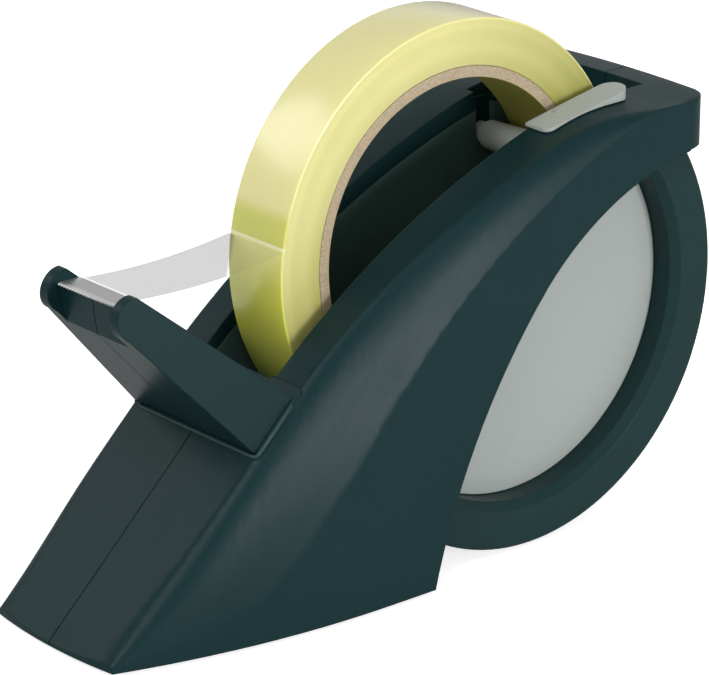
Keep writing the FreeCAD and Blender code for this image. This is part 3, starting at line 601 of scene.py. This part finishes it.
# ---- cutter blade -----------------------------------------------------------------
def blade_tree():
    """A flat plate with a row of teeth along its front edge."""
    tree, identifiers = new_tree("toothed blade", (
        ("Length", "NodeSocketFloat"),
        ("Depth", "NodeSocketFloat"),
        ("Thickness", "NodeSocketFloat"),
        ("Teeth", "NodeSocketInt"),
        ("Tooth Depth", "NodeSocketFloat"),
        ("Centre", "NodeSocketVector"),
        ("Material", "NodeSocketMaterial"),
    ))
    given = add(tree, "NodeGroupInput").outputs
    pitch = maths(tree, "DIVIDE", given["Length"], given["Teeth"])
    plate_depth = maths(tree, "SUBTRACT", given["Depth"], given["Tooth Depth"])
    size = vector(tree, X=given["Length"], Y=plate_depth, Z=given["Thickness"])
    plate = add(tree, "GeometryNodeMeshCube", {"Size": size}).outputs["Mesh"]
    plate_shift = vector(tree, Y=maths(tree, "MULTIPLY", given["Tooth Depth"], 0.5))
    plate_placed = moved(tree, plate, "Translation", plate_shift)
    # A three-sided cylinder of radius one is 1.5 deep and the square root of 3 wide.
    tooth_thickness = maths(tree, "MULTIPLY", given["Thickness"], 0.96)
    prism = {"Vertices": 3, "Radius": 1.0, "Depth": tooth_thickness}
    tooth = add(tree, "GeometryNodeMeshCylinder", prism).outputs["Mesh"]
    tooth_turned = moved(tree, tooth, "Rotation", (0.0, 0.0, -math.pi / 2))
    wide = maths(tree, "DIVIDE", pitch, math.sqrt(3.0))
    deep = maths(tree, "DIVIDE", given["Tooth Depth"], 1.5)
    first_x = maths(tree, "MULTIPLY", maths(tree, "SUBTRACT", pitch, given["Length"]), 0.5)
    tip_y = maths(tree, "MULTIPLY", given["Depth"], -0.5)
    row_y = maths(tree, "ADD", maths(tree, "ADD", tip_y, deep), TOOTH_OVERLAP)
    row = add(tree, "GeometryNodeMeshLine", {
        "Count": given["Teeth"],
        "Start Location": vector(tree, X=first_x, Y=row_y),
        "Offset": vector(tree, X=pitch),
    })
    teeth = add(tree, "GeometryNodeInstanceOnPoints", {
        "Points": row.outputs["Mesh"],
        "Instance": tooth_turned,
        "Scale": vector(tree, X=wide, Y=deep, Z=1.0),
    })
    joined = add(tree, "GeometryNodeJoinGeometry")
    tree.links.new(plate_placed, joined.inputs["Geometry"])
    tree.links.new(teeth.outputs["Instances"], joined.inputs["Geometry"])
    close_tree(tree, joined.outputs["Geometry"], given)
    return tree, identifiers


# ---- operators --------------------------------------------------------------------
class DISPENSER_OT_shells(bpy.types.Operator):
    """Finish the two body shells and lay the bead round the arm's foot"""

    bl_idname = "dispenser.shells"
    bl_label = "Body shells"

    def execute(self, context):
        finish = context.scene.dispenser_body
        plastic = moulded_plastic("teal_shell", finish.shell_colour[:], finish, finish.roughness)
        finished("right_shell", plastic, "body")
        finished("left_shell", plastic, "body")
        # The bead gets a lighter copy of the plastic, a painted highlight.
        highlit_bead = moulded_plastic("bead_painted_highlight", finish.bead_highlight_colour[:], finish, finish.roughness)
        bead = beaded("collar_bead", COLLAR_EDGE, finish.bead_radius, highlit_bead)
        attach(bead, "body")
        return {"FINISHED"}


class DISPENSER_OT_channel(bpy.types.Operator):
    """Finish the roll channel, the drawer runners and the drawer's catch"""

    bl_idname = "dispenser.channel"
    bl_label = "Roll channel"

    def execute(self, context):
        finish = context.scene.dispenser_body
        # The channel pieces get the lighter teal, painted light where the lamps hardly reach.
        plastic = moulded_plastic("channel_teal_painted_light", finish.channel_painted_light_colour[:], finish, finish.roughness + 0.08)
        for node in ("roll_well", "drawer_runner_right", "drawer_runner_left"):
            finished(node, plastic, "body")
        leaf = rolled_steel("spring_leaf", SPRING_TINT, roughness=0.32)
        finished("drawer_catch", leaf, "body")
        return {"FINISHED"}


class DISPENSER_OT_axle(bpy.types.Operator):
    """Finish the roll axle and its grip"""

    bl_idname = "dispenser.axle"
    bl_label = "Roll axle"

    def execute(self, context):
        finish = context.scene.dispenser_body
        plastic = moulded_plastic("axle_grey", finish.axle_colour[:], finish, roughness=0.38, speckle=0.10)
        finished("roll_axle", plastic, "axle", sharp_angle=50.0)
        return {"FINISHED"}


class DISPENSER_OT_roll(bpy.types.Operator):
    """Wind the tape on its cardboard core"""

    bl_idname = "dispenser.roll"
    bl_label = "Tape roll"

    def execute(self, context):
        finish = context.scene.dispenser_roll
        core_outer = half_span(CORE_BOX, 2)
        core = ring_piece("card_core", finish.core_bore / 2, core_outer, finish.core_edge_round,
                          finish, pressed_card(finish))
        winding = ring_piece("wound_film", core_outer + finish.winding_gap, half_span(WINDING_BOX, 2),
                             finish.edge_round, finish, wound_tape(finish))
        for piece, node, slot in ((core, "tape_core", "cardboard"), (winding, "tape_winding", "tape")):
            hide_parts(node)
            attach(piece, "roll")
        return {"FINISHED"}


class DISPENSER_OT_strip(bpy.types.Operator):
    """Lay the free end of the tape from the roll to the blade"""

    bl_idname = "dispenser.strip"
    bl_label = "Tape end"

    def execute(self, context):
        film = clear_film(context.scene.dispenser_roll)
        finished("tape_strip", film, "axle", sharp_angle=50.0)
        return {"FINISHED"}


class DISPENSER_OT_blade(bpy.types.Operator):
    """Cut the toothed steel blade"""

    bl_idname = "dispenser.blade"
    bl_label = "Cutter blade"

    def execute(self, context):
        sizes = context.scene.dispenser_blade
        low, high = BLADE_BOX
        steel = rolled_steel("blade_steel", sizes.steel_colour[:], sizes.roughness)
        tree, identifiers = blade_tree()
        centre = (low + high) / 2
        centre.z = high.z - sizes.thickness / 2
        mesh = grown("blade_plate", tree, identifiers, {
            "Length": high.x - low.x,
            "Depth": high.y - low.y,
            "Thickness": sizes.thickness,
            "Teeth": sizes.tooth_count,
            "Tooth Depth": sizes.tooth_depth,
            "Centre": centre,
            "Material": steel,
        })
        recalculated(mesh)
        piece = linked("blade_plate", mesh, steel)
        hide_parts("cutter_blade")
        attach(piece, "body")
        return {"FINISHED"}


class DISPENSER_OT_drawer(bpy.types.Operator):
    """Finish the round drawer: its two drum rings and its tray"""

    bl_idname = "dispenser.drawer"
    bl_label = "Drawer"

    def execute(self, context):
        finish = context.scene.dispenser_body
        plastic = moulded_plastic("drawer_teal", finish.drawer_colour[:], finish, finish.roughness)
        for node in ("drawer_ring_right", "drawer_ring_left", "drawer_tray"):
            finished(node, plastic, "drawer")
        return {"FINISHED"}


class DISPENSER_OT_discs(bpy.types.Operator):
    """Finish the light grey discs in the drum"""

    bl_idname = "dispenser.discs"
    bl_label = "Drum discs"

    def execute(self, context):
        finish = context.scene.dispenser_body
        plastic = moulded_plastic("disc_grey", finish.disc_colour[:], finish, roughness=0.40, speckle=0.10)
        for node in ("drawer_disc_right", "drawer_disc_left"):
            finished(node, plastic, "drawer")
        return {"FINISHED"}


class DISPENSER_OT_base(bpy.types.Operator):
    """Finish the base plate, the weight and the rubber feet"""

    bl_idname = "dispenser.base"
    bl_label = "Base and feet"

    def execute(self, context):
        finish = context.scene.dispenser_body
        plastic = moulded_plastic("base_teal", finish.base_colour[:], finish, roughness=0.55)
        finished("base_plate", plastic, "body")
        finished("ballast", rough_casting(), "body")
        rubber = soft_rubber()
        for node in ("front_foot_left", "front_foot_right", "rear_foot_left", "rear_foot_right"):
            finished(node, rubber, "body")
        return {"FINISHED"}


class DISPENSER_OT_screws(bpy.types.Operator):
    """Finish the screws that hold the shells and the base plate"""

    bl_idname = "dispenser.screws"
    bl_label = "Screws"

    def execute(self, context):
        steel = rolled_steel("screw_steel", SCREW_TINT, roughness=0.35)
        finished("shell_screws", steel, "body")
        finished("base_screws", steel, "body")
        return {"FINISHED"}


# ---- stage ------------------------------------------------------------------------
def seen_directly(tree):
    """One where the camera sees the surface, straight or through a clear piece."""
    path = add(tree, "ShaderNodeLightPath").outputs
    return maths(tree, "MAXIMUM", path["Is Camera Ray"], path["Is Transmission Ray"])


def white_world(settings):
    """A soft room that looks plain white to the camera."""
    world = bpy.data.worlds.new("white_room")
    world.use_nodes = True
    tree = world.node_tree
    tree.nodes.clear()
    direction = add(tree, "ShaderNodeTexCoord").outputs["Generated"]
    height = add(tree, "ShaderNodeSeparateXYZ", {"Vector": direction}).outputs["Z"]
    ambient = ranged(tree, height, 0.0, 1.0, settings.ambient_low, settings.ambient_high)
    strength = maths(tree, "MAXIMUM", ambient, seen_directly(tree))
    sky = add(tree, "ShaderNodeBackground", {"Color": WHITE, "Strength": strength})
    add(tree, "ShaderNodeOutputWorld", {"Surface": sky.outputs["Background"]})
    return world


def pale_floor(settings):
    """A pale matt floor that keeps the shadow and looks white to the camera."""
    material, tree, shader, place = new_material("pale_floor")
    grain = noise(tree, place, scale=40.0)
    pale = settings.floor_colour
    feed(tree, shader, {
        "Base Color": mixed(tree, grain, shade(pale, 0.99), shade(pale, 1.01)),
        "Roughness": 0.9,
        "Specular IOR Level": 0.0,
    })
    strength = ranged(tree, seen_directly(tree), 0.0, 1.0, 0.0, settings.floor_glow)
    glow = add(tree, "ShaderNodeEmission", {"Color": WHITE, "Strength": strength})
    both = add(tree, "ShaderNodeAddShader", {0: shader.outputs["BSDF"], 1: glow.outputs["Emission"]})
    feed(tree, tree.nodes["Material Output"], {"Surface": both.outputs[0]})
    return material


def soft_lamp(name, power, place, size):
    """A rectangular area lamp turned towards the dispenser."""
    data = bpy.data.lights.new(name, "AREA")
    data.shape = "RECTANGLE"
    data.size, data.size_y = size
    data.energy = power
    lamp = bpy.data.objects.new(name, data)
    bpy.context.scene.collection.objects.link(lamp)
    lamp.location = place
    lamp.rotation_euler = (LAMP_TARGET - Vector(place)).to_track_quat("-Z", "Y").to_euler()
    return lamp


def flat_floor(settings):
    """A large square of floor at the height of the desk."""
    mesh = bpy.data.meshes.new("floor")
    signs = ((-1, -1), (1, -1), (1, 1), (-1, 1))
    mesh.from_pydata([(FLOOR_REACH * x, FLOOR_REACH * y, 0.0) for x, y in signs], [], [(0, 1, 2, 3)])
    return linked("floor", mesh, pale_floor(settings))


def add_camera(settings):
    """The camera, placed from its angles and offsets about the middle of the roll."""
    turn, tilt = settings.azimuth, settings.elevation
    back = Vector((math.sin(turn) * math.cos(tilt), -math.cos(turn) * math.cos(tilt), math.sin(tilt)))
    right = Vector((math.cos(turn), math.sin(turn), 0.0))
    up = back.cross(right)
    data = bpy.data.cameras.new("camera")
    data.sensor_fit = "HORIZONTAL"
    data.lens = data.sensor_width * settings.focal_pixels / IMAGE_WIDTH
    data.clip_start = 0.05
    data.clip_end = 20.0
    camera = bpy.data.objects.new("camera", data)
    bpy.context.scene.collection.objects.link(camera)
    place = ROLL_CENTRE + back * settings.distance + right * settings.side_offset + up * settings.up_offset
    turned = Matrix((right, up, back)).transposed().to_4x4()
    camera.matrix_world = Matrix.Translation(place) @ turned
    return camera


class DISPENSER_OT_stage(bpy.types.Operator):
    """Set up the floor, the lamps, the white room and the camera"""

    bl_idname = "dispenser.stage"
    bl_label = "Stage"

    def execute(self, context):
        settings = context.scene.dispenser_stage
        scene = context.scene
        floor = flat_floor(settings)
        key = soft_lamp("key_lamp", settings.key_power, place=(0.92, 0.17, 0.24), size=(0.30, 0.30))
        front = soft_lamp("front_lamp", settings.front_power, place=(-0.80, -0.52, 0.68), size=(0.50, 0.45))
        rear = soft_lamp("rear_lamp", settings.rear_power, place=(-0.75, 0.70, 0.45), size=(0.60, 0.30))
        top = soft_lamp("top_lamp", settings.top_power, place=(0.32, -0.70, 0.92), size=(0.60, 0.60))
        scene.world = white_world(settings)
        scene.view_settings.view_transform = "Standard"
        scene.camera = add_camera(settings)
        return {"FINISHED"}


class DISPENSER_PT_panel(bpy.types.Panel):
    """Lists the dispenser's settings and steps"""

    bl_label = "Tape dispenser"
    bl_idname = "DISPENSER_PT_panel"
    bl_space_type = "VIEW_3D"
    bl_region_type = "UI"
    bl_category = "Dispenser"

    def draw(self, context):
        for operator in OPERATORS:
            self.layout.operator(operator.bl_idname)
        for name in SETTINGS:
            group = getattr(context.scene, name)
            box = self.layout.box()
            for key in group.__annotations__:
                box.prop(group, key)


SETTINGS = {
    "dispenser_body": BodyFinish,
    "dispenser_roll": RollFinish,
    "dispenser_blade": BladeSizes,
    "dispenser_stage": StageSettings,
}
OPERATORS = (
    DISPENSER_OT_shells,
    DISPENSER_OT_channel,
    DISPENSER_OT_axle,
    DISPENSER_OT_roll,
    DISPENSER_OT_strip,
    DISPENSER_OT_blade,
    DISPENSER_OT_drawer,
    DISPENSER_OT_discs,
    DISPENSER_OT_base,
    DISPENSER_OT_screws,
    DISPENSER_OT_stage,
)


def register():
    for group in SETTINGS.values():
        bpy.utils.register_class(group)
    for name, group in SETTINGS.items():
        setattr(bpy.types.Scene, name, bpy.props.PointerProperty(type=group))
    for operator in OPERATORS:
        bpy.utils.register_class(operator)
    bpy.utils.register_class(DISPENSER_PT_panel)


def unregister():
    bpy.utils.unregister_class(DISPENSER_PT_panel)
    for operator in reversed(OPERATORS):
        bpy.utils.unregister_class(operator)
    for name, group in SETTINGS.items():
        delattr(bpy.types.Scene, name)
        bpy.utils.unregister_class(group)


def main():
    register()
    bpy.ops.dispenser.shells()
    bpy.ops.dispenser.channel()
    bpy.ops.dispenser.axle()
    bpy.ops.dispenser.roll()
    bpy.ops.dispenser.strip()
    bpy.ops.dispenser.blade()
    bpy.ops.dispenser.drawer()
    bpy.ops.dispenser.discs()
    bpy.ops.dispenser.base()
    bpy.ops.dispenser.screws()
    bpy.ops.dispenser.stage()


if __name__ == "__main__":
    main()
